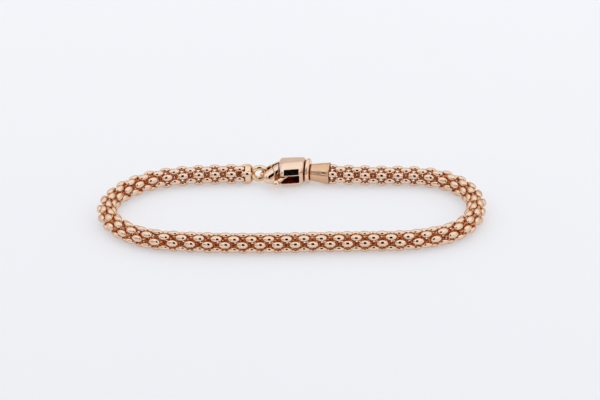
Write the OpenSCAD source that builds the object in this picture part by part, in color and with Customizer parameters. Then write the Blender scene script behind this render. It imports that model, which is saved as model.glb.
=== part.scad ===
/* [Mesh] */
// Distance between two beads of one row
bead_pitch = 3.4; // [3.2:0.1:3.8]
// Distance from the middle of the mesh to the middle of a bead
bead_circle_r = 1.48; // [1.46:0.01:1.5]
// Thickest radius of a bead
bead_r = 0.6; // [0.5:0.01:0.6]
// Distance from a bead's middle to its ends, where the wire turns inward
bead_end = 1.05; // [1:0.01:1.1]
// Radius at a bead's ends
bead_end_r = 0.3; // [0.25:0.01:0.3]
// Radius of the wire that joins the beads of one link on the inside
wire_r = 0.2; // [0.15:0.01:0.22]
// How near the joining wires come to the middle of the mesh
wire_depth_r = 0.42; // [0.35:0.01:0.5]
// How far each wire bows along the mesh at its deepest point
wire_bow = 0.12; // [0.05:0.01:0.2]
// Angle of the first row of beads above the outward side
row_angle = 18; // [0:1:44]

/* [Ends of the mesh] */
// How far the cap with the ring is drawn in along the mesh
ring_end_draw = 0.15; // [0:0.05:0.4]
// How high the mesh is lifted at the ring
ring_end_lift = 0; // [0:0.05:0.3]
// How high the mesh is lifted at the clasp
clasp_end_lift = 0.25; // [0.1:0.05:0.4]

/* [End ring] */
// Radius of the round ends of the ring, to the middle of its wire
end_ring_r = 1.3; // [1.25:0.05:1.35]
// Straight stretch between the round ends
end_ring_straight = 0.3; // [0:0.1:0.6]
// Radius of the ring's wire
end_ring_wire_r = 0.55; // [0.5:0.05:0.55]

/* [Clasp] */
// Direction of the clasp's axis
clasp_heading = 170; // [168:1:174]
// Angle from that axis to the clasp's flat outline
clasp_yaw = 10; // [8:1:12]
// Length of the tapered end cap
cap_length = 4.1; // [3.8:0.1:4.2]
// Radius of the end cap at the mesh
cap_mouth_r = 2.3; // [2.25:0.05:2.4]
// Radius of the end cap at the collar
cap_neck_r = 1.75; // [1.6:0.05:1.9]
// Radius of the collar disc
collar_r = 2.68; // [2.6:0.02:2.8]
// Thickness of the collar disc
collar_thick = 0.92; // [0.8:0.02:1]
// Half of the clasp's thickness
clasp_half = 2.6; // [2.5:0.05:2.65]
// Half of the height of the slot that the lever moves in
slot_half = 0.88; // [0.84:0.02:0.9]
// Radius of the claw's hole
claw_hole_r = 1.15; // [1.1:0.05:1.15]
// Half of the lever's thickness
lever_half = 0.77; // [0.7:0.01:0.77]
// Radius of the lever's pin
pin_r = 0.3; // [0.25:0.05:0.35]
// Radius of the ball that a finger presses
thumb_r = 0.73; // [0.6:0.01:0.75]

/* [Hidden] */

GOLD = [0.93, 0.72, 0.58];
GOLD_DEEP = [0.84, 0.6, 0.46];

// The mesh's way round, seen from above: half pitches, then degrees turned to the left.
HALF_PITCHES = 0;
TURN = 1;
BENDS = [
    [6, 3], [4, 11], [8, 51], [6, 56], [8, 50], [4, 4], [10, 6],
    [12, -1], [6, 21], [4, 33], [6, 43], [8, 67], [4, 15], [8, -3],
];
mesh_start = [-9.19, 13.86];
start_heading = 180;
half_pitch = bead_pitch / 2;
step_turn = [for (b = BENDS) for (k = [1 : b[HALF_PITCHES]]) b[TURN] / b[HALF_PITCHES]];
last = len(step_turn);
heading = [for (i = 0, h = start_heading; i <= last; h = h + (i < last ? step_turn[i] : 0), i = i + 1) h];
place = [for (i = 0, p = mesh_start; i <= last;
              p = i < last ? p + half_pitch * [cos(heading[i] + step_turn[i] / 2),
                                               sin(heading[i] + step_turn[i] / 2)] : p,
              i = i + 1) p];

mesh_r = bead_circle_r + bead_r;
lift_steps = 9;
floor_gap = 0.01;
function lift(i) = mesh_r + floor_gap
    + ring_end_lift * pow(max(0, 1 - i / lift_steps), 2)
    + clasp_end_lift * pow(max(0, 1 - (last - i) / lift_steps), 2);

// Sections of a link's wire: sides, and how much a flat-sided section is widened to hold its area.
wire_sides = 5;
side_swell = 1.1;

clasp_outward = 0.1;
clasp_start = [place[last].x, place[last].y + clasp_outward, collar_r];
cap_start = 0.5;
cap_drop = 0.27;
collar_start = cap_start + cap_length;
collar_end = collar_start + collar_thick;
pin_at = [2.3, 0.6];
lever_clear = 0.06;
pin_half = 1.9;
lever_hub_r = 0.75;
arm_half = 0.45;
thumb_at = [6.25, 5.2, -0.15];
slot_right = 1.45;
slot_back = -1.15;
slot_length = 4.3;
slot_width = 7;
slot_middle = -0.26;
claw_hole_at = [8.15, 0.2];
stud_r = 0.9;
stud_length = 1;
cut_half = 3;

function unit(v) = v / norm(v);
function around(angle) = [0, -cos(angle), sin(angle)];
function section(middle, along, out, r) =
    let (side = unit(cross(along, out)), up = cross(side, along))
    [for (j = [0 : wire_sides - 1])
        middle + side_swell * r * (cos(360 * j / wire_sides) * up + sin(360 * j / wire_sides) * side)];

// The closed way round one link: four beads on every other row, joined on the inside by
// wires that pass under the beads of the links before and after it.
function link_sections(first_row, first_side) = [for (k = [0 : 3])
    let (go = first_side * (k % 2 == 0 ? 1 : -1),
         row = first_row + 90 * k,
         out = around(row),
         dip_out = around(row + 45),
         dip = wire_depth_r * dip_out + [go * (bead_end + wire_bow), 0, 0],
         before = wire_depth_r * around(row - 45) - [go * (bead_end + wire_bow), 0, 0],
         front = bead_circle_r * out + [go * bead_end, 0, 0],
         back = bead_circle_r * out - [go * bead_end, 0, 0],
         ahead = [go, 0, 0])
    each [
        section(back, unit(ahead + unit(back - before)), out, bead_end_r),
        section(bead_circle_r * out, ahead, out, bead_r),
        section(front, unit(ahead + unit(dip - front)), out, bead_end_r),
        section(dip, around(row + 135), dip_out, wire_r)]];

module tube_ring(sections) {
    n = len(sections);
    m = len(sections[0]);
    polyhedron(points = [for (s = sections) each s],
               faces = [for (i = [0 : n - 1]) for (j = [0 : m - 1])
                   let (a = i * m + j, b = i * m + (j + 1) % m,
                        c = (i + 1) % n * m + j, d = (i + 1) % n * m + (j + 1) % m)
                   each [[a, c, b], [b, c, d]]]);
}

module link(i) {
    odd = i % 2;
    tube_ring(link_sections(row_angle + 45 * (1 - odd), odd == 1 ? 1 : -1));
}

module at_station(i) {
    translate([place[i].x, place[i].y, lift(i)]) rotate([0, 0, heading[i]]) children();
}

module mesh(from, to) {
    for (i = [from : to]) at_station(i) link(i);
}

module mesh_left() { color(GOLD) mesh(1, floor(last / 2)); }

module mesh_right() { color(GOLD) mesh(floor(last / 2) + 1, last - 1); }

module end_ring() {
    rotate([90, 0, 0]) {
        for (s = [0, 1]) rotate([0, 0, 180 * s]) translate([end_ring_straight / 2, 0, 0])
            rotate([0, 0, -90]) rotate_extrude(angle = 180, $fn = 48)
            translate([end_ring_r, 0]) circle(end_ring_wire_r, $fn = 20);
        for (s = [-1, 1]) translate([0, s * end_ring_r, 0]) rotate([0, 90, 0])
            cylinder(r = end_ring_wire_r, h = end_ring_straight, center = true, $fn = 20);
    }
}

// The last links are soldered into this cap, and the ring is soldered to its end.
plug_r = 1.85;
plug_from = -0.05;
plug_to = 0.9;
ring_sink = 0.25;
ring_turn = 4;
ring_rise = 0.1;
ring_reach = plug_to + end_ring_r + end_ring_straight / 2 + end_ring_wire_r - ring_sink;
module ring_end_cap() {
    color(GOLD) at_station(0) translate([ring_end_draw, 0, 0]) {
        link(0);
        rotate([0, -90, 0]) rotate_extrude($fn = 40) polygon([
            [0, plug_from], [plug_r - 0.2, plug_from], [plug_r, plug_from + 0.2],
            [plug_r, plug_to - 0.35], [plug_r - 0.4, plug_to], [0, plug_to + 0.1]]);
        translate([-ring_reach, 0, ring_rise]) rotate([0, 0, ring_turn]) end_ring();
    }
}

module on_clasp_axis(along) {
    translate(clasp_start) rotate([0, 0, clasp_heading]) translate([along, 0, 0]) children();
}

module clasp_end_cap() {
    color(GOLD_DEEP) {
        on_clasp_axis(cap_start) translate([0, 0, -cap_drop]) rotate([0, 90, 0])
            rotate_extrude($fn = 48) polygon([
            [0, 0.7], [cap_mouth_r - 0.25, 0.55], [cap_mouth_r - 0.2, 0], [cap_mouth_r - 0.05, 0],
            [cap_mouth_r, 0.1], [cap_mouth_r, 0.4], [cap_mouth_r - 0.08, 0.48],
            [cap_neck_r + 0.15, 0.7 * cap_length], [cap_neck_r, cap_length - 0.3],
            [cap_neck_r - 0.2, cap_length - 0.05], [0, cap_length - 0.05]]);
        at_station(last) link(last);
    }
}

module collar_disc() {
    edge_r = collar_thick / 2;
    color(GOLD) on_clasp_axis(collar_start) rotate([0, 90, 0]) {
        cylinder(r = collar_r - edge_r, h = collar_thick, $fn = 48);
        translate([0, 0, edge_r]) rotate_extrude($fn = 48)
            translate([collar_r - edge_r, 0]) circle(edge_r, $fn = 20);
        cylinder(r = stud_r, h = collar_thick + stud_length, $fn = 32);
    }
}

module in_clasp() {
    on_clasp_axis(collar_end) rotate([0, 0, clasp_yaw]) children();
}

// The barrel's sections, from the collar to the hook: place, how far the section stands inside
// the full one, the middle of its round near side, and its turn. Its far side has two small edges.
AT = 0;
INSET = 1;
NEAR_Y = 2;
TURNED = 3;
BARREL = [[0.12, 0.85, 0.78, -clasp_yaw], [0.28, 0.35, 0.78, -clasp_yaw],
          [0.75, 0.04, 0.78, -clasp_yaw], [1.4, 0, 0.95, 0], [4.6, 0.04, 1.35, 0],
          [5.25, 0.3, 1.4, 0], [5.54, 0.8, 1.4, 0]];
near_r = 2.5;
far_y = -0.85;
far_edge_r = 1.2;

// Balls that the hook's outer form is drawn over: x, y, height from the middle, radius.
HOOK = [[5, -0.3, 0.8, 1.3], [5.2, 1.25, 1, 1.35], [7.2, -0.5, -0.05, 1.15],
        [8.75, -0.5, -0.7, 0.54], [9.25, 0.3, -0.62, 0.46], [7.75, 2.2, -0.3, 1.3]];

// The gate's tip swings in a zone of the hook, out to an arc about the pin: the zone's corners
// and the tip's, seen from above, and the radius of each arc.
MOUTH = [[5.55, -0.75], [7.3, -0.6], [7.3, 6], [5.55, 6]];
TIP = [[5.76, 0.4], [6.9, 1], [6.9, 6], [5.7, 6]];
mouth_reach = 4.75;
tip_reach = 4.64;

// The thumb's arm swings in a hollow of the hook and of the gate's tip: each one's outline seen
// from above, and the wedge that both have seen from the near side.
ARM_WAY = [[5.3, 1.9], [7.1, 3.6], [7.3, 6], [5.3, 6]];
TIP_HOLLOW = [[5.4, 2.2], [7.5, 3.2], [7.5, 6], [5.4, 6]];
WEDGE = [[5.2, 0.59], [7.5, 0.57], [7.5, -0.6], [5.2, -1.11]];
hollow_depth = 8;

module barrel_disc(b, y, z, r) {
    rotate([0, 0, b[TURNED]]) translate([b[AT], y, z]) rotate([0, 90, 0])
        cylinder(r = r - b[INSET], h = 0.01, $fn = 18);
}

module barrel_form() {
    hull() for (b = BARREL) for (s = [-1, 1]) {
        barrel_disc(b, b[NEAR_Y], s * (clasp_half - near_r), near_r);
        barrel_disc(b, far_y, s * (clasp_half - far_edge_r), far_edge_r);
    }
}

module hook_form() {
    hull() for (b = HOOK) for (s = b[2] > 0 ? [-1, 1] : [1])
        translate([b[0], b[1], s * b[2]]) sphere(b[3], $fn = 10);
}

module zone(corners, reach) {
    translate([0, 0, -cut_half]) linear_extrude(2 * cut_half) intersection() {
        translate(pin_at) circle(reach, $fn = 72);
        polygon(corners);
    }
}

module hollow(outline) {
    intersection() {
        translate([0, 0, -cut_half]) linear_extrude(2 * cut_half) polygon(outline);
        translate([0, hollow_depth, 0]) rotate([90, 0, 0]) linear_extrude(hollow_depth) polygon(WEDGE);
    }
}

module clasp_body() {
    color(GOLD) in_clasp() difference() {
        union() {
            barrel_form();
            hook_form();
        }
        zone(MOUTH, mouth_reach);
        hollow(ARM_WAY);
        translate([slot_right, slot_back, slot_middle - slot_half])
            cube([slot_length, slot_width, 2 * slot_half]);
        translate([claw_hole_at.x, claw_hole_at.y, -cut_half])
            cylinder(r = claw_hole_r, h = 2 * cut_half, $fn = 40);
        translate([pin_at.x, pin_at.y, -pin_half]) cylinder(r = pin_r, h = 2 * pin_half, $fn = 24);
        rotate([0, 0, -clasp_yaw]) rotate([0, 90, 0])
            translate([0, 0, -0.1]) cylinder(r = stud_r + lever_clear, h = stud_length + 0.2, $fn = 32);
    }
}

// The lever's outlines, seen from above: the plate in the slot, and the thumb's arm.
PLATE = [[1.75, -0.1], [5.75, 0.75], [6.3, 1], [6.2, 2], [5.7, 2.1], [1.9, 1.25]];
ARM = [[2.9, 1.3], [3.9, 1.5], [5.15, 3], [6.1, 4.4], [6.6, 5], [5.9, 5.4], [5.35, 4.75],
       [4.4, 3.55], [3.2, 2.35]];

module clasp_lever() {
    color(GOLD) in_clasp() difference() {
        union() {
            difference() {
                intersection() {
                    hook_form();
                    zone(TIP, tip_reach);
                }
                hollow(TIP_HOLLOW);
            }
            translate([0, 0, slot_middle - lever_half]) linear_extrude(2 * lever_half) polygon(PLATE);
            translate([0, 0, -arm_half]) linear_extrude(2 * arm_half) polygon(ARM);
            translate([pin_at.x, pin_at.y, slot_middle - lever_half])
                cylinder(r = lever_hub_r, h = 2 * lever_half, $fn = 32);
            translate(thumb_at) sphere(thumb_r, $fn = 32);
        }
        translate([pin_at.x, pin_at.y, -cut_half])
            cylinder(r = pin_r + lever_clear, h = 2 * cut_half, $fn = 24);
    }
}

module lever_pin() {
    color(GOLD_DEEP) in_clasp() translate([pin_at.x, pin_at.y, -pin_half])
        cylinder(r = pin_r, h = 2 * pin_half, $fn = 24);
}

mesh_left();
mesh_right();
ring_end_cap();
clasp_end_cap();
collar_disc();
clasp_body();
clasp_lever();
lever_pin();
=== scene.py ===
import math
import random

import bpy
import bmesh
import numpy as np
from mathutils import Matrix, Vector


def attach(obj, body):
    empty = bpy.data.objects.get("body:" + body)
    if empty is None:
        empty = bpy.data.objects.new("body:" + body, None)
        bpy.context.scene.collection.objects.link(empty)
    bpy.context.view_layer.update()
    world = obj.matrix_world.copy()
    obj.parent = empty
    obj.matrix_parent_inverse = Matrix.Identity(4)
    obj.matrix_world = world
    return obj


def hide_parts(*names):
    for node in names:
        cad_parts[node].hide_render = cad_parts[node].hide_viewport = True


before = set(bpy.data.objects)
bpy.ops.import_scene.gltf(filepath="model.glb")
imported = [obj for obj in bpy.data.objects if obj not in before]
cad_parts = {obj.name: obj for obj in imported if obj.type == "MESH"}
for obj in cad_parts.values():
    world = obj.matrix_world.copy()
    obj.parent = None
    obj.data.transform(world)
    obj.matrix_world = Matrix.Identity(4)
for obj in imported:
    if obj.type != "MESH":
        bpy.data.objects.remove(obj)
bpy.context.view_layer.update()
mm = 0.001
scene = bpy.context.scene
scene.view_settings.view_transform = "Standard"
scene.view_settings.look = "None"

# Camera, found from the beads' places in the photograph
shot = {
    "aim": (1.69, 6.17, 0),     # point of the table in the middle of the frame, mm
    "distance": 372.03,         # mm
    "elevation": 29.5,          # degrees above the table
    "roll": 0.76,               # degrees, clockwise
    "lens": 108.59,             # mm on a sensor 36 mm wide
}


def placeCamera(shot):
    lift = math.radians(shot["elevation"])
    aim = Vector(shot["aim"]) * mm
    away = Vector((0, -math.cos(lift), math.sin(lift)))
    data = bpy.data.cameras.new("camera")
    data.lens = shot["lens"]
    data.sensor_width = 36
    data.clip_start = 0.01
    data.clip_end = 20
    camera = bpy.data.objects.new("camera", data)
    look = (-away).to_track_quat("-Z", "Y").to_matrix().to_4x4()
    camera.matrix_world = (Matrix.Translation(aim + away * shot["distance"] * mm)
                           @ look @ Matrix.Rotation(-math.radians(shot["roll"]), 4, "Z"))
    scene.collection.objects.link(camera)
    scene.camera = camera
    return aim


aim = placeCamera(shot)
print("camera placed")


# Materials
def newMaterial(name):
    material = bpy.data.materials.new(name)
    material.use_nodes = True
    nodes = material.node_tree.nodes
    return material, nodes, material.node_tree.links, nodes["Principled BSDF"]


toneBand = (0.3, 0.7)       # part of the noise over which the alloy's tone and polish change


def goldMaterial(name, look):
    material, nodes, links, shader = newMaterial(name)
    shader.inputs["Metallic"].default_value = 1
    place = nodes.new("ShaderNodeTexCoord")
    tone = nodes.new("ShaderNodeTexNoise")          # slow change of alloy tone and polish
    tone.inputs["Scale"].default_value = look["toneScale"]
    tone.inputs["Detail"].default_value = 3
    links.new(place.outputs["Object"], tone.inputs["Vector"])
    colour = nodes.new("ShaderNodeValToRGB")
    colour.color_ramp.elements[0].position = toneBand[0]
    colour.color_ramp.elements[0].color = (*look["dark"], 1)
    colour.color_ramp.elements[1].position = toneBand[1]
    colour.color_ramp.elements[1].color = (*look["light"], 1)
    links.new(tone.outputs["Fac"], colour.inputs["Fac"])
    paintedShade = nodes.new("ShaderNodeAmbientOcclusion")   # painted shade: the colour is darker where other metal or the table is near
    paintedShade.samples = 6
    paintedShade.inputs["Distance"].default_value = look["paintedShadeReach"] * mm
    shadeRamp = nodes.new("ShaderNodeValToRGB")
    shadeRamp.color_ramp.elements[0].position = look["paintedShadeFrom"]
    shadeRamp.color_ramp.elements[0].color = (*look["paintedShade"], 1)
    shadeRamp.color_ramp.elements[1].position = look["paintedShadeTo"]
    shadeRamp.color_ramp.elements[1].color = (1, 1, 1, 1)
    links.new(paintedShade.outputs["AO"], shadeRamp.inputs["Fac"])
    # the painted shade is multiplied into the base colour
    addShade = nodes.new("ShaderNodeMix")
    addShade.data_type = "RGBA"
    addShade.blend_type = "MULTIPLY"
    addShade.inputs["Factor"].default_value = 1
    links.new(colour.outputs["Color"], addShade.inputs["A"])
    links.new(shadeRamp.outputs["Color"], addShade.inputs["B"])
    links.new(addShade.outputs["Result"], shader.inputs["Base Color"])
    rough = nodes.new("ShaderNodeMapRange")
    rough.inputs["From Min"].default_value = toneBand[0]
    rough.inputs["From Max"].default_value = toneBand[1]
    rough.inputs["To Min"].default_value = look["roughness"][0]
    rough.inputs["To Max"].default_value = look["roughness"][1]
    links.new(tone.outputs["Fac"], rough.inputs["Value"])
    links.new(rough.outputs["Result"], shader.inputs["Roughness"])
    # Specular Tint colours the reflection at grazing angles; where a look's edge is browner than its
    # base, as for the beads and the solder, it is painted shade on the rims
    shader.inputs["Specular Tint"].default_value = (*look["edge"], 1)
    waves = nodes.new("ShaderNodeTexNoise")         # hand polish: faint unevenness
    waves.inputs["Scale"].default_value = look["waveScale"]
    waves.inputs["Detail"].default_value = 2
    links.new(place.outputs["Object"], waves.inputs["Vector"])
    bump = nodes.new("ShaderNodeBump")
    bump.inputs["Strength"].default_value = look["bump"]
    bump.inputs["Distance"].default_value = look["bumpDepth"] * mm
    links.new(waves.outputs["Fac"], bump.inputs["Height"])
    links.new(bump.outputs["Normal"], shader.inputs["Normal"])
    return material


# the paintedShade entries give the colour, reach and ramp of the painted shade that darkens each gold
# where other metal or the table is near
beadLook = {
    "dark": (0.84, 0.61, 0.45), "light": (0.90, 0.68, 0.51), "edge": (0.80, 0.54, 0.36),
    "paintedShade": (0.66, 0.45, 0.29), "paintedShadeReach": 0.5, "paintedShadeFrom": 0.3, "paintedShadeTo": 0.85,
    "toneScale": 900, "roughness": (0.06, 0.12),
    "waveScale": 2500, "bump": 0.12, "bumpDepth": 0.02,
}
# painted reflection: the wires' deep, saturated orange stands for light bounced between the gold beads in
# the link gaps
wireBounceLook = {
    "dark": (0.83, 0.39, 0.17), "light": (0.91, 0.49, 0.25), "edge": (0.80, 0.45, 0.24),
    "paintedShade": (0.78, 0.58, 0.46), "paintedShadeReach": 0.3, "paintedShadeFrom": 0.1, "paintedShadeTo": 0.6,
    "toneScale": 900, "roughness": (0.2, 0.32),
    "waveScale": 2500, "bump": 0.2, "bumpDepth": 0.02,
}
claspLook = {
    "dark": (0.89, 0.65, 0.49), "light": (0.92, 0.69, 0.53), "edge": (0.97, 0.88, 0.80),
    "paintedShade": (0.4, 0.2, 0.1), "paintedShadeReach": 0.5, "paintedShadeFrom": 0.2, "paintedShadeTo": 0.8,
    "toneScale": 500, "roughness": (0.05, 0.09),
    "waveScale": 700, "bump": 0.1, "bumpDepth": 0.02,
}
# painted shade: the tapered cap's gold is a darker, more saturated copy of the clasp's, standing for
# darker reflections on the cap
capShadedLook = {
    "dark": (0.72, 0.45, 0.28), "light": (0.78, 0.52, 0.34), "edge": (0.97, 0.86, 0.76),
    "paintedShade": (0.5, 0.3, 0.18), "paintedShadeReach": 0.5, "paintedShadeFrom": 0.3, "paintedShadeTo": 0.85,
    "toneScale": 600, "roughness": (0.08, 0.16),
    "waveScale": 900, "bump": 0.2, "bumpDepth": 0.02,
}
# painted shade: a dark, deep orange gold for the faces inside the clasp's slot, the lever's plate and the
# gate's cavity, standing for the shade there
hollowShadeLook = {
    "dark": (0.30, 0.08, 0.02), "light": (0.50, 0.16, 0.05), "edge": (0.5, 0.2, 0.08),
    "paintedShade": (0.4, 0.25, 0.15), "paintedShadeReach": 2, "paintedShadeFrom": 0.1, "paintedShadeTo": 0.6,
    "toneScale": 700, "roughness": (0.2, 0.32),
    "waveScale": 900, "bump": 0.2, "bumpDepth": 0.03,
}
solderLook = {
    "dark": (0.88, 0.64, 0.42), "light": (0.93, 0.74, 0.52), "edge": (0.80, 0.55, 0.36),
    "paintedShade": (0.55, 0.34, 0.2), "paintedShadeReach": 0.5, "paintedShadeFrom": 0.3, "paintedShadeTo": 0.85,
    "toneScale": 900, "roughness": (0.1, 0.2),
    "waveScale": 1800, "bump": 0.25, "bumpDepth": 0.03,
}
beadGold = goldMaterial("beadGold", beadLook)
wireBounceGold = goldMaterial("wireBounceGold", wireBounceLook)
claspGold = goldMaterial("claspGold", claspLook)
capShadedGold = goldMaterial("capShadedGold", capShadedLook)
hollowShadeGold = goldMaterial("hollowShadeGold", hollowShadeLook)
solderGold = goldMaterial("solderGold", solderLook)
print("materials made")


# Mesh tools; they work in millimetres, and metalPiece brings the result to the frame's metres
def newObject(name, verts, faces):
    data = bpy.data.meshes.new(name)
    data.from_pydata([tuple(v) for v in verts], [], [tuple(f) for f in faces])
    data.update()
    thing = bpy.data.objects.new(name, data)
    scene.collection.objects.link(thing)
    return thing


def evaluated(thing):
    graph = bpy.context.evaluated_depsgraph_get()
    return bpy.data.meshes.new_from_object(thing.evaluated_get(graph))


def combine(operation, body, others):
    for other in others:
        step = body.modifiers.new(operation.lower(), "BOOLEAN")
        step.operation = operation
        step.object = other
        step.solver = "EXACT"
    data = evaluated(body)
    for thing in (body, *others):
        bpy.data.objects.remove(thing)
    return data


def smoothed(data, voxel, rounds):
    thing = bpy.data.objects.new("form", data)
    scene.collection.objects.link(thing)
    remesh = thing.modifiers.new("remesh", "REMESH")
    remesh.mode = "VOXEL"
    remesh.voxel_size = voxel
    soften = thing.modifiers.new("soften", "SMOOTH")
    soften.iterations = rounds
    soften.factor = 0.5
    result = evaluated(thing)
    bpy.data.objects.remove(thing)
    return result


def metalPiece(name, data, materials, node, body="bracelet"):
    data.transform(Matrix.Scale(mm, 4))
    data.polygons.foreach_set("use_smooth", [True] * len(data.polygons))
    for material in materials:
        data.materials.append(material)
    data.update()
    piece = bpy.data.objects.new(name, data)
    scene.collection.objects.link(piece)
    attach(piece, body)
    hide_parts(node)
    return piece


def hull(points):
    shape = bmesh.new()
    for point in points:
        shape.verts.new(point)
    result = bmesh.ops.convex_hull(shape, input=shape.verts)
    loose = [part for part in result["geom_interior"] if isinstance(part, bmesh.types.BMVert)]
    bmesh.ops.delete(shape, geom=loose, context="VERTS")
    data = bpy.data.meshes.new("hull")
    shape.to_mesh(data)
    shape.free()
    thing = bpy.data.objects.new("hull", data)
    scene.collection.objects.link(thing)
    return thing


def ballPoints(middle, radius, sides=32):
    points = []
    for row in range(sides // 2 + 1):
        lift = math.pi * row / (sides // 2) - math.pi / 2
        for j in range(sides):
            turn = 2 * math.pi * j / sides
            away = (math.cos(lift) * math.cos(turn), math.cos(lift) * math.sin(turn), math.sin(lift))
            points.append([m + radius * a for m, a in zip(middle, away)])
    return points


def around(angle):
    a = math.radians(angle)
    return np.array([0, -math.cos(a), math.sin(a)])


def sweep(points, radii, sides, closed):
    # A round tube whose sections are carried along without a twist; its ends get flat caps
    n = len(points)
    points = np.asarray(points, float)
    if closed:
        tangent = np.roll(points, -1, 0) - np.roll(points, 1, 0)
    else:
        tangent = np.gradient(points, axis=0)
    tangent /= np.linalg.norm(tangent, axis=1)[:, None]
    helper = np.eye(3)[np.argmin(np.abs(tangent[0]))]
    normal = np.cross(tangent[0], helper)
    normals = []
    for i in range(n + 1):
        t = tangent[i % n]
        normal = normal - t * normal.dot(t)
        normal /= np.linalg.norm(normal)
        normals.append(normal)
    twist = 0
    if closed:
        twist = math.atan2(np.cross(normals[n], normals[0]).dot(tangent[0]), normals[n].dot(normals[0]))
    rings = []
    for i in range(n):
        u = normals[i]
        v = np.cross(tangent[i], u)
        a = np.linspace(0, 2 * math.pi, sides, endpoint=False) + twist * i / n
        rings.append(points[i] + radii[i] * (np.cos(a)[:, None] * u + np.sin(a)[:, None] * v))
    faces = []
    for i in range(n if closed else n - 1):
        for j in range(sides):
            k = (j + 1) % sides
            below, above = i * sides, (i + 1) % n * sides
            faces.append((below + j, below + k, above + k, above + j))
    if not closed:
        faces.append(tuple(reversed(range(sides))))
        faces.append(tuple(range((n - 1) * sides, n * sides)))
    return np.concatenate(rings), faces


def turnedForm(profile, sides):
    # Verts and faces of a closed solid turned about its X axis; the profile's ends lie on the axis
    verts = [(profile[0][0], 0, 0)]
    for x, r in profile[1:-1]:
        for j in range(sides):
            a = 2 * math.pi * j / sides
            verts.append((x, r * math.cos(a), r * math.sin(a)))
    verts.append((profile[-1][0], 0, 0))
    rows = len(profile) - 2
    faces = [(0, 1 + (j + 1) % sides, 1 + j) for j in range(sides)]
    for i in range(rows - 1):
        for j in range(sides):
            k = (j + 1) % sides
            faces.append((1 + i * sides + j, 1 + i * sides + k, 1 + (i + 1) * sides + k,
                          1 + (i + 1) * sides + j))
    first = 1 + (rows - 1) * sides
    faces += [(first + j, first + (j + 1) % sides, len(verts) - 1) for j in range(sides)]
    return verts, faces


def bezier(a, b, c, d, count):
    t = np.linspace(0, 1, count)[:, None]
    return (1 - t) ** 3 * a + 3 * (1 - t) ** 2 * t * b + 3 * (1 - t) * t ** 2 * c + t ** 3 * d


# The mesh of beaded links: its way round repeats the solids' own
weave = {
    "pitch": 3.4, "beadCircle": 1.56, "beadWide": 0.66, "beadThick": 0.52,
    "beadHalf": 1.15, "beadPower": 2.05,
    "wireCircle": 1.33, "wireRadius": 0.32, "wireDepth": 0.55, "wireAhead": 1.4,
    "wireStart": 0.7, "wireElbow": 1.2, "elbowIn": 0.9, "dipSpread": 0.5,
    "rowAngle": 18, "rowTwist": -5, "start": (-9.19, 13.86), "startHeading": 180,
    # half pitches, then degrees turned to the left
    "bends": ((6, 3), (4, 11), (8, 51), (6, 56), (8, 50), (4, 4), (10, 6),
              (12, -1), (6, 21), (4, 33), (6, 43), (8, 67), (4, 15), (8, -3)),
    "halfHeight": 2.08, "floorGap": 0.01,
    "ringLift": 0, "claspLift": 0.25, "liftSteps": 9, "ringDraw": 0.15,
    "beadSections": 14, "wireSections": 12, "beadSides": 20, "wireSides": 12,
    "jitterTurn": 0.8, "jitterTilt": 0.5, "seed": 7,
}


def wayRound(weave):
    half = weave["pitch"] / 2
    x, y = weave["start"]
    heading = weave["startHeading"]
    stations = [(x, y, heading)]
    for steps, turn in weave["bends"]:
        for _ in range(steps):
            middle = math.radians(heading + turn / steps / 2)
            x += half * math.cos(middle)
            y += half * math.sin(middle)
            heading += turn / steps
            stations.append((x, y, heading))
    return stations


def liftAt(i, last):
    rise = weave["ringLift"] * max(0, 1 - i / weave["liftSteps"]) ** 2
    rise += weave["claspLift"] * max(0, 1 - (last - i) / weave["liftSteps"]) ** 2
    return weave["halfHeight"] + weave["floorGap"] + rise


def beadSolid(row):
    half, power = weave["beadHalf"], weave["beadPower"]
    profile = []
    for i in range(weave["beadSections"] + 1):
        x = -half * math.cos(math.pi * i / weave["beadSections"])
        r = weave["beadWide"] * max(0, 1 - abs(x / half) ** power) ** (1 / power)
        profile.append((x, r))
    verts, faces = turnedForm(profile, weave["beadSides"])
    along, out, aside = np.array(verts).T[:, :, None]
    out = weave["beadCircle"] + out * weave["beadThick"] / weave["beadWide"]
    placed = along * np.array([1, 0, 0]) + out * around(row) + aside * around(row + 90)
    return newObject("bead", placed, faces)


def wireSolid(row, go):
    # From inside one bead's end down to the middle of the mesh and up into the next bead
    ahead = np.array([go, 0, 0])
    dip = weave["wireDepth"] * around(row + 45) + weave["wireAhead"] * ahead
    halves = []
    for end, across in ((row, -1), (row + 90, 1)):
        start = weave["wireCircle"] * around(end) + weave["wireStart"] * ahead
        elbow = weave["elbowIn"] * weave["wireCircle"] * around(end) + weave["wireElbow"] * ahead
        bend = dip + weave["dipSpread"] * across * around(row + 135)
        halves.append(bezier(start, elbow, bend, dip, weave["wireSections"] // 2 + 1))
    points = np.concatenate([halves[0], halves[1][-2::-1]])
    verts, faces = sweep(points, [weave["wireRadius"]] * len(points), weave["wireSides"], False)
    return newObject("wire", verts, faces)


def linkSolid(firstRow, firstSide):
    beads, wires = [], []
    for k in range(4):
        beads.append(beadSolid(firstRow + 90 * k))
        wires.append(wireSolid(firstRow + 90 * k, firstSide * (1 if k % 2 == 0 else -1)))
    for part, index in [(bead, 0) for bead in beads] + [(wire, 1) for wire in wires]:
        part.data.materials.append(beadGold)
        part.data.materials.append(wireBounceGold)
        part.data.polygons.foreach_set("material_index", [index] * len(part.data.polygons))
    data = combine("UNION", beads[0], beads[1:] + wires)
    verts = np.array([v.co[:] for v in data.vertices])
    faces = [tuple(p.vertices) for p in data.polygons]
    kinds = [p.material_index for p in data.polygons]
    return verts, faces, kinds


stations = wayRound(weave)
last = len(stations) - 1
links = [linkSolid(weave["rowAngle"] + 45 * (1 - odd), 1 if odd else -1) for odd in (0, 1)]
dice = random.Random(weave["seed"])
print("links made,", [len(link[1]) for link in links], "faces each")


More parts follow.
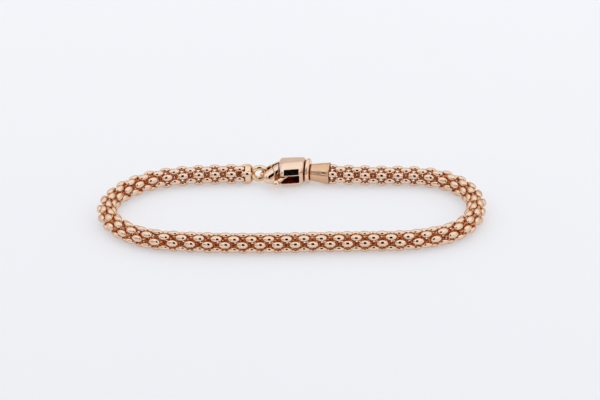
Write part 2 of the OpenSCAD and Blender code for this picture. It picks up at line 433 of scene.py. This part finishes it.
def turned(verts, axis, degrees):
    return verts @ np.array(Matrix.Rotation(math.radians(degrees), 3, axis)).T


def linkAt(i, jitter=1, draw=0):
    verts, faces, kinds = links[i % 2]
    twist = weave["rowTwist"] * math.sin(math.pi * i / last) ** 2
    verts = turned(verts, "X", dice.uniform(-1, 1) * weave["jitterTurn"] * jitter - twist)
    verts = turned(verts, "Y", dice.uniform(-1, 1) * weave["jitterTilt"] * jitter)
    verts = turned(verts, "Z", dice.uniform(-1, 1) * weave["jitterTilt"] * jitter)
    verts = verts + [draw, 0, 0]
    x, y, heading = stations[i]
    return turned(verts, "Z", heading) + [x, y, liftAt(i, last)], faces, kinds


def joined(parts):
    verts, faces, kinds = [], [], []
    count = 0
    for v, f, k in parts:
        verts.append(v)
        faces += [tuple(count + i for i in face) for face in f]
        kinds += k
        count += len(v)
    data = bpy.data.meshes.new("joined")
    data.from_pydata([tuple(v) for v in np.concatenate(verts)], [], faces)
    data.polygons.foreach_set("material_index", kinds)
    data.update()
    return data


metalPiece("mesh_left_links", joined([linkAt(i) for i in range(1, last // 2 + 1)]),
           (beadGold, wireBounceGold), "mesh_left")
metalPiece("mesh_right_links", joined([linkAt(i) for i in range(last // 2 + 1, last)]),
           (beadGold, wireBounceGold), "mesh_right")
print("mesh of links made")


# Cap and ring at the left end
ringEnd = {
    "plugRadius": 1.87, "plugFrom": -0.3, "plugTo": 0.9, "plugRound": 0.35,
    "hollowRadius": 1.2, "hollowFrom": 0.1, "lipStep": 0.1, "lipRound": 0.05,
    "edgeRound": 0.12, "crown": 0.1,
    "ringRadius": 1.3, "ringStraight": 0.3, "wireRadius": 0.55,
    "sink": 0.25, "rise": 0.1, "turn": 4,
    "plugSides": 48, "ringSections": 56, "wireSides": 28,
}


def asPart(verts, faces, kind=0):
    return np.asarray(verts, float), [tuple(f) for f in faces], [kind] * len(faces)


def roundedProfile(corners, steps=5):
    # Corners as (x, r, radius of the rounding); each is replaced by a short arc-like curve
    profile = []
    for i, (x, r, bend) in enumerate(corners):
        here = np.array([x, r])
        if bend == 0:
            profile.append(tuple(here))
            continue
        ends = []
        for other in (corners[i - 1], corners[i + 1]):
            there = np.array(other[:2])
            reach = np.linalg.norm(there - here)
            ends.append(here + (there - here) / reach * min(bend, 0.5 * reach))
        for t in np.linspace(0, 1, steps):
            point = (1 - t) ** 2 * ends[0] + 2 * (1 - t) * t * here + t ** 2 * ends[1]
            profile.append(tuple(point))
    return profile


def ringPath(look):
    points = []
    for side in (1, -1):
        for t in np.linspace(-math.pi / 2, math.pi / 2, look["ringSections"] // 2):
            x = side * (look["ringStraight"] / 2 + look["ringRadius"] * math.cos(t))
            points.append((x, 0, side * look["ringRadius"] * math.sin(t)))
    return points


def makeRingEnd():
    look = ringEnd
    corners = ((look["hollowFrom"], 0, 0), (look["hollowFrom"], look["hollowRadius"], 0),
               (look["plugFrom"], look["hollowRadius"] + look["lipStep"], look["lipRound"]),
               (look["plugFrom"], look["plugRadius"], look["edgeRound"]),
               (look["plugTo"], look["plugRadius"], look["plugRound"]),
               (look["plugTo"] + look["crown"], 0, 0))
    verts, faces = turnedForm(roundedProfile(corners), look["plugSides"])
    plug = asPart(np.array(verts) * [-1, 1, -1], faces)
    path = ringPath(look)
    verts, faces = sweep(path, [look["wireRadius"]] * len(path), look["wireSides"], True)
    reach = (look["plugTo"] + look["ringRadius"] + look["ringStraight"] / 2
             + look["wireRadius"] - look["sink"])
    ring = asPart(turned(verts, "Z", look["turn"]) + [-reach, 0, look["rise"]], faces)
    link = linkAt(0, 0, weave["ringDraw"])
    x, y, heading = stations[0]
    parts = [link]
    for v, f, k in (plug, ring):
        v = turned(v + [weave["ringDraw"], 0, 0], "Z", heading) + [x, y, liftAt(0, last)]
        parts.append((v, f, [2] * len(f)))
    return joined(parts)


metalPiece("ring_and_cap", makeRingEnd(), (beadGold, wireBounceGold, solderGold),
           "ring_end_cap")
print("cap with the ring made")


# Cap at the clasp, its collar disc, and the clasp's own axes
claspAxis = {
    "heading": 170, "yaw": 10, "outward": 0.1, "height": 2.68,
    "capStart": 0.5, "capLength": 4.1, "capDrop": 0.27,
    "mouthRadius": 2.3, "neckRadius": 1.75, "neckRound": 0.25, "capFloor": 0.7, "capShort": 0.05,
    # the cap's outline from its mouth: place, how far inside the mouth's radius, rounding
    "capMouth": ((0.55, 0.25, 0.1), (0, 0.2, 0.1), (0, 0, 0.12), (0.4, 0, 0.14), (0.5, 0.09, 0.08)),
    # its taper: share of the length, radius, rounding
    "capTaper": ((0.35, 2.13, 0.4), (0.72, 1.88, 0.5)),
    "discRadius": 2.68, "discThick": 0.92, "studRadius": 0.9, "studLength": 1,
    "sides": 72, "roundSteps": 6, "edgeSteps": 15,
}


def onAxis(verts, along, turn=0):
    x, y, _ = stations[last]
    start = [x, y + claspAxis["outward"], claspAxis["height"]]
    return turned(turned(verts, "Z", turn) + [along, 0, 0], "Z", claspAxis["heading"]) + start


def makeClaspCap():
    look = claspAxis
    end = look["capLength"] - look["capShort"]
    corners = [(look["capFloor"], 0, 0)]
    corners += [(x, look["mouthRadius"] - inset, bend) for x, inset, bend in look["capMouth"]]
    corners += [(share * look["capLength"], r, bend) for share, r, bend in look["capTaper"]]
    corners += [(end, look["neckRadius"], look["neckRound"]), (end, 0, 0)]
    verts, faces = turnedForm(roundedProfile(corners, look["roundSteps"]), look["sides"])
    cap = asPart(onAxis(np.array(verts), look["capStart"]) - [0, 0, look["capDrop"]], faces, 2)
    return joined([linkAt(last, 0), cap])


def makeDisc():
    look = claspAxis
    edge = look["discThick"] / 2
    profile = [(0, 0)]
    for t in np.linspace(0, math.pi, look["edgeSteps"]):
        profile.append((edge - edge * math.cos(t), look["discRadius"] - edge + edge * math.sin(t)))
    profile += [(look["discThick"], look["studRadius"]),
                (look["discThick"] + look["studLength"], look["studRadius"]),
                (look["discThick"] + look["studLength"], 0)]
    verts, faces = turnedForm(profile, look["sides"])
    return joined([asPart(onAxis(np.array(verts), look["capStart"] + look["capLength"]), faces)])


metalPiece("clasp_cap", makeClaspCap(), (beadGold, wireBounceGold, capShadedGold),
           "clasp_end_cap")
metalPiece("collar", makeDisc(), (claspGold,), "collar_disc")
print("clasp's cap and disc made")

# The clasp in its own frame: X runs from the collar to the hook and Y to the near side
claspBody = {
    # place, how far the section stands inside the full one, middle of its round near side, turn
    "barrel": ((0.12, 0.85, 0.78, -10), (0.2, 0.5, 0.78, -10), (0.42, 0.2, 0.78, -10),
               (0.8, 0.04, 0.78, -10), (1.4, 0, 0.95, 0), (4.6, 0.04, 1.35, 0),
               (5.1, 0.16, 1.4, 0), (5.38, 0.4, 1.4, 0), (5.55, 0.75, 1.4, 0)),
    "half": 2.6, "nearRadius": 2.5, "farY": -0.85, "farEdge": 1.2,
    # x, y, height from the middle, radius
    "hook": ((5, -0.3, 0.8, 1.3), (5.2, 1.25, 1, 1.35), (7.2, -0.5, -0.05, 1.15),
             (8.75, -0.5, -0.7, 0.54), (9.25, 0.3, -0.62, 0.46), (7.75, 2.2, -0.3, 1.3)),
    "slotFrom": (1.45, -1.15), "slotSize": (4.3, 7), "slotMiddle": -0.26, "slotHalf": 0.88,
    "holeAt": (8.15, 0.2), "holeRadius": 1.15,
    "mouth": ((5.55, -0.75), (7.3, -0.6), (7.3, 6), (5.55, 6)), "mouthReach": 4.75,
    # the hollow for the thumb's arm: its outline from above, and its wedge from the near side
    "armWay": ((5.3, 1.9), (7.1, 3.6), (7.3, 6), (5.3, 6)),
    "wedge": ((5.2, 0.59), (7.5, 0.57), (7.5, -0.6), (5.2, -1.11)), "hollowDepth": 8,
    "pinAt": (2.3, 0.6), "pinRadius": 0.3, "pinHalf": 1.9, "clear": 0.06,
    "cutHalf": 3, "cutPast": 0.1, "zoneSides": 160,
    "voxel": 0.065, "rounds": 14,
    # the painted shade in the slot: how far past the slot's sides and start, and up to which x and y
    "shadePast": 0.08, "shadeBefore": 0.1, "shadeTo": (7.4, 2.9),
}
claspLever = {
    "tip": ((5.76, 0.4), (6.9, 1), (6.9, 6), (5.62, 6)), "tipReach": 4.7,
    "tipHollow": ((5.4, 2.2), (7.5, 3.2), (7.5, 6), (5.4, 6)),
    "plate": ((1.75, -0.1), (5.75, 0.75), (6.3, 1), (6.2, 2), (5.7, 2.1), (1.9, 1.25)),
    "half": 0.77, "hubRadius": 0.75, "hubSides": 48, "thumbSides": 48,
    # the thumb's arm as balls: x, y, height, radius
    "arm": ((3.3, 1.6, 0.05, 0.44), (3.75, 2.15, 0.05, 0.42), (4.8, 3.25, 0.05, 0.42),
            (5.6, 4.25, 0, 0.44), (6.15, 5, -0.1, 0.52)),
    "thumb": (6.25, 5.2, -0.15, 0.73),
    "voxel": 0.05, "rounds": 4,
    # the painted shade: the plate below a sloping line (x, y, slope, last x), and the gate's cavity
    "plateLine": (1.9, 1.4, 0.22, 5.6),
    "cavityHalf": 0.9, "cavityX": (5.6, 7.3), "cavityY": (1.9, 3), "cavityFacing": 0.3,
}


def wrapped(data):
    thing = bpy.data.objects.new("form", data)
    scene.collection.objects.link(thing)
    return thing


def prism(corners, low, high):
    return hull([(x, y, z) for x, y in corners for z in (low, high)])


def barSolid(place, radius, half, sides=64):
    circle = []
    for j in range(sides):
        a = 2 * math.pi * j / sides
        circle.append((place[0] + radius * math.cos(a), place[1] + radius * math.sin(a)))
    return prism(circle, -half, half)


def zoneSolid(corners, reach):
    half = claspBody["cutHalf"]
    circle = barSolid(claspBody["pinAt"], reach, half + claspBody["cutPast"], claspBody["zoneSides"])
    return wrapped(combine("INTERSECT", prism(corners, -half, half), [circle]))


def discPoints(x, y, z, radius, turn=0, sides=64):
    points = []
    for j in range(sides):
        a = 2 * math.pi * j / sides
        points.append((x, y + radius * math.cos(a), z + radius * math.sin(a)))
    return [tuple(point) for point in turned(np.array(points), "Z", turn)]


def barrelForm(look):
    points = []
    near, far = look["nearRadius"], look["farEdge"]
    for x, inset, nearY, turn in look["barrel"]:
        for side in (-1, 1):
            points += discPoints(x, nearY, side * (look["half"] - near), near - inset, turn)
            points += discPoints(x, look["farY"], side * (look["half"] - far), far - inset, turn)
    return hull(points)


def hookForm(look):
    points = []
    for x, y, z, r in look["hook"]:
        for side in ((-1, 1) if z > 0 else (1,)):
            points += ballPoints((x, y, side * z), r)
    return hull(points)


def hollowSolid(outline):
    plan = prism(outline, -claspBody["cutHalf"], claspBody["cutHalf"])
    wedge = hull([(x, y, z) for x, z in claspBody["wedge"] for y in (0, claspBody["hollowDepth"])])
    return wrapped(combine("INTERSECT", plan, [wedge]))


def claspCuts(look):
    x, y = look["slotFrom"]
    wide, deep = look["slotSize"]
    slot = prism(((x, y), (x + wide, y), (x + wide, y + deep), (x, y + deep)),
                 look["slotMiddle"] - look["slotHalf"], look["slotMiddle"] + look["slotHalf"])
    hole = barSolid(look["holeAt"], look["holeRadius"], look["cutHalf"])
    pinBore = barSolid(look["pinAt"], look["pinRadius"], look["pinHalf"])
    stud = []
    for along in (-look["cutPast"], claspAxis["studLength"] + look["cutPast"]):
        stud += discPoints(along, 0, 0, claspAxis["studRadius"] + look["clear"], -claspAxis["yaw"])
    return [slot, hole, zoneSolid(look["mouth"], look["mouthReach"]), hollowSolid(look["armWay"]),
            pinBore, hull(stud)]


def toClasp(data):
    along = claspAxis["capStart"] + claspAxis["capLength"] + claspAxis["discThick"]
    verts = np.array([v.co[:] for v in data.vertices])
    placed = onAxis(verts, along, claspAxis["yaw"])
    data.vertices.foreach_set("co", placed.ravel())
    return data


def paintHollowShade(data, inside):
    # Faces that lie inside the given test get the second material, whose dark colour is painted shade
    for face in data.polygons:
        face.material_index = 1 if inside(face.center, face.normal) else 0


def makeClaspBody():
    look = claspBody
    form = wrapped(combine("UNION", barrelForm(look), [hookForm(look)]))
    data = smoothed(combine("DIFFERENCE", form, claspCuts(look)), look["voxel"], look["rounds"])
    x, y = look["slotFrom"]
    endX, endY = look["shadeTo"]
    early, half = look["shadeBefore"], look["slotHalf"] + look["shadePast"]

    def inSlot(place, normal):
        inside = abs(place[2] - look["slotMiddle"]) < half
        return inside and x - early < place[0] < endX and y - early < place[1] < endY

    paintHollowShade(data, inSlot)
    return toClasp(data)


def makeLever():
    look = claspLever
    zone = zoneSolid(look["tip"], look["tipReach"])
    tip = wrapped(combine("INTERSECT", hookForm(claspBody), [zone]))
    tip = wrapped(combine("DIFFERENCE", tip, [hollowSolid(look["tipHollow"])]))
    hub = []
    for side in (-1, 1):
        for j in range(look["hubSides"]):
            a = 2 * math.pi * j / look["hubSides"]
            hub.append((claspBody["pinAt"][0] + look["hubRadius"] * math.cos(a),
                        claspBody["pinAt"][1] + look["hubRadius"] * math.sin(a),
                        claspBody["slotMiddle"] + side * look["half"]))
    low, high = (claspBody["slotMiddle"] + side * look["half"] for side in (-1, 1))
    parts = [prism(look["plate"], low, high), hull(hub)]
    for (*here, r), (*there, q) in zip(look["arm"], look["arm"][1:]):
        parts.append(hull(ballPoints(here, r) + ballPoints(there, q)))
    *thumb, r = look["thumb"]
    parts.append(hull(ballPoints(thumb, r, look["thumbSides"])))
    form = wrapped(combine("UNION", tip, parts))
    boreRadius = claspBody["pinRadius"] + claspBody["clear"]
    bore = barSolid(claspBody["pinAt"], boreRadius, claspBody["cutHalf"])
    data = smoothed(combine("DIFFERENCE", form, [bore]), look["voxel"], look["rounds"])
    lineX, lineY, slope, lineEnd = look["plateLine"]
    (lowX, highX), (lowY, highY) = look["cavityX"], look["cavityY"]

    def inPlateOrCavity(place, normal):
        plate = place[1] < lineY + slope * (place[0] - lineX) and place[0] < lineEnd
        cavity = abs(place[2]) < look["cavityHalf"] and lowX < place[0] < highX
        return plate or cavity and lowY < place[1] < highY and normal[1] > look["cavityFacing"]

    paintHollowShade(data, inPlateOrCavity)
    return toClasp(data)


claw = metalPiece("claw", makeClaspBody(), (claspGold, hollowShadeGold), "clasp_body")
lever = metalPiece("lever_and_thumb_ball", makeLever(), (claspGold, hollowShadeGold),
                   "clasp_lever", "lever")
print("clasp made,", len(claw.data.polygons), len(lever.data.polygons), "faces")

# The pin stays as the solid is
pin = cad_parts["lever_pin"]
pin.data.materials.clear()
pin.data.materials.append(claspGold)

# Studio: a pale lit table, a white tent of light and dark cards round the lens
studio = {
    "tableRadius": 3000, "tableColour": (0.52, 0.525, 0.54), "tableGlow": (0.43, 0.43, 0.445),
    # heights as the sine of the angle above the table, each with its colour
    "frontSky": ((0, (0.62, 0.61, 0.61)), (0.3, (0.88, 0.89, 0.91)), (0.6, (1.05, 1.07, 1.1))),
    "backSky": ((0, (0.66, 0.66, 0.67)), (0.5, (0.72, 0.72, 0.73)), (0.58, (1.0, 1.01, 1.03))),
    # degrees aside and above the table, then half width, half height in degrees, and grey
    "cards": ((4, 34, 14, 32, 0.004), (-28, 31, 5, 9, 0.02), (-52, 20, 18, 22, 0.6)),
    "cardDistance": 430, "cardSides": 48, "cardPower": 0.6,
    "backBand": (0.1, 0.5),     # how far back a direction points where the back sky takes over
}


def makeTable():
    data = bpy.data.meshes.new("table")
    shape = bmesh.new()
    bmesh.ops.create_circle(shape, cap_ends=True, segments=96, radius=studio["tableRadius"] * mm)
    shape.to_mesh(data)
    shape.free()
    material, nodes, links, shader = newMaterial("tablePaper")
    shader.inputs["Base Color"].default_value = (*studio["tableColour"], 1)
    shader.inputs["Roughness"].default_value = 0.9
    shader.inputs["Specular IOR Level"].default_value = 0.1
    shader.inputs["Emission Color"].default_value = (*studio["tableGlow"], 1)
    shader.inputs["Emission Strength"].default_value = 1
    data.materials.append(material)
    table = bpy.data.objects.new("table", data)
    scene.collection.objects.link(table)


def skyRamp(nodes, links, height, stops):
    ramp = nodes.new("ShaderNodeValToRGB")
    for i, (place, colour) in enumerate(stops):
        stop = ramp.color_ramp.elements[i] if i < 2 else ramp.color_ramp.elements.new(place)
        stop.position = place
        stop.color = (*colour, 1)
    links.new(height, ramp.inputs["Fac"])
    return ramp.outputs["Color"]


def makeSky():
    world = bpy.data.worlds.new("tent")
    scene.world = world
    world.use_nodes = True
    nodes, links = world.node_tree.nodes, world.node_tree.links
    place = nodes.new("ShaderNodeTexCoord")
    split = nodes.new("ShaderNodeSeparateXYZ")
    links.new(place.outputs["Generated"], split.inputs["Vector"])
    back = nodes.new("ShaderNodeMapRange")
    back.inputs["From Min"].default_value = studio["backBand"][0]
    back.inputs["From Max"].default_value = studio["backBand"][1]
    links.new(split.outputs["Y"], back.inputs["Value"])
    mix = nodes.new("ShaderNodeMix")
    mix.data_type = "RGBA"
    links.new(back.outputs["Result"], mix.inputs["Factor"])
    links.new(skyRamp(nodes, links, split.outputs["Z"], studio["frontSky"]), mix.inputs["A"])
    links.new(skyRamp(nodes, links, split.outputs["Z"], studio["backSky"]), mix.inputs["B"])
    links.new(mix.outputs["Result"], nodes["Background"].inputs["Color"])


def makeCards():
    for aside, up, halfWide, halfTall, grey in studio["cards"]:
        material, nodes, links, shader = newMaterial("card")
        shader.inputs["Base Color"].default_value = (grey, grey, grey, 1)
        shader.inputs["Roughness"].default_value = 1
        shader.inputs["Specular IOR Level"].default_value = 0
        reach = studio["cardDistance"] * mm
        wide, tall = (reach * math.tan(math.radians(half)) for half in (halfWide, halfTall))
        corners = []
        sides, power = studio["cardSides"], studio["cardPower"]
        for j in range(sides):
            c, n = math.cos(2 * math.pi * j / sides), math.sin(2 * math.pi * j / sides)
            corners.append((wide * math.copysign(abs(c) ** power, c),
                            tall * math.copysign(abs(n) ** power, n), 0))
        card = newObject("card", corners, [tuple(range(sides))])
        card.data.materials.append(material)
        lift, turn = math.radians(up), math.radians(aside)
        away = Vector((math.sin(turn) * math.cos(lift), -math.cos(turn) * math.cos(lift), math.sin(lift)))
        facing = away.to_track_quat("Z", "Y").to_matrix().to_4x4()
        card.matrix_world = Matrix.Translation(aim + away * reach) @ facing


makeTable()
makeSky()
makeCards()
print("studio made")
